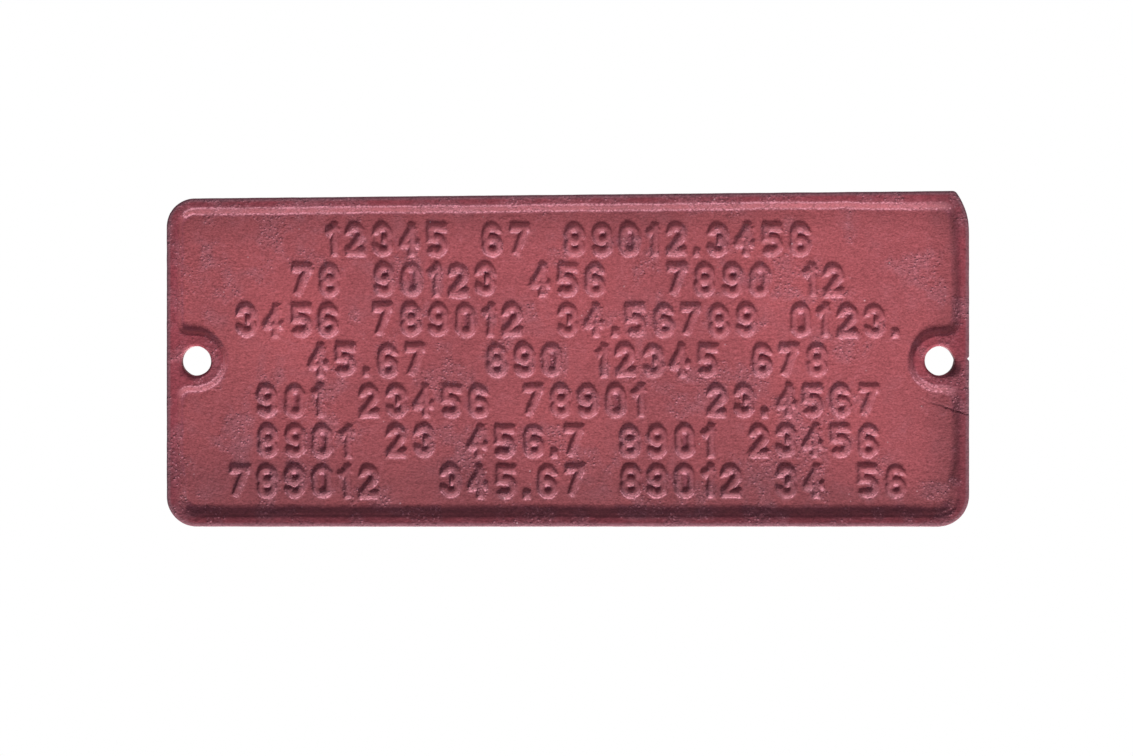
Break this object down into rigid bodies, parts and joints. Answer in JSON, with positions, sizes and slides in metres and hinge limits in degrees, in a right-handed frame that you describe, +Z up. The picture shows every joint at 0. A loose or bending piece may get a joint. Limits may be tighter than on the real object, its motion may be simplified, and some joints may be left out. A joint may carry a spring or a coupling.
{
  "type": "railroad trust plate",
  "caption": "Cast-iron identification plate for railway rolling stock, with a raised rim, bolt bosses at its ends and rows of raised, bevelled numerals.",
  "frame": {"origin": "midway between the two bolt holes, on the flat back face", "axes": "+Z up and +X along the plate as a reader sees it; the face with the numerals looks along -Y and the back along +Y"},
  "size_m": [0.3048, 0.0074, 0.1276],
  "materials": {
    "field_paint": "matte",
    "rim_paint": "matte",
    "numeral_paint": "matte"
  },
  "bodies": {
    "root": {"base_plate": "field_paint", "rim_top": "rim_paint", "rim_right": "rim_paint", "rim_bottom": "rim_paint", "rim_left": "rim_paint", "bolt_boss_left": "rim_paint", "bolt_boss_right": "rim_paint", "numeral_row_1": "numeral_paint", "numeral_row_2": "numeral_paint", "numeral_row_3": "numeral_paint", "numeral_row_4": "numeral_paint", "numeral_row_5": "numeral_paint", "numeral_row_6": "numeral_paint", "numeral_row_7": "numeral_paint"}
  },
  "joints": []
}
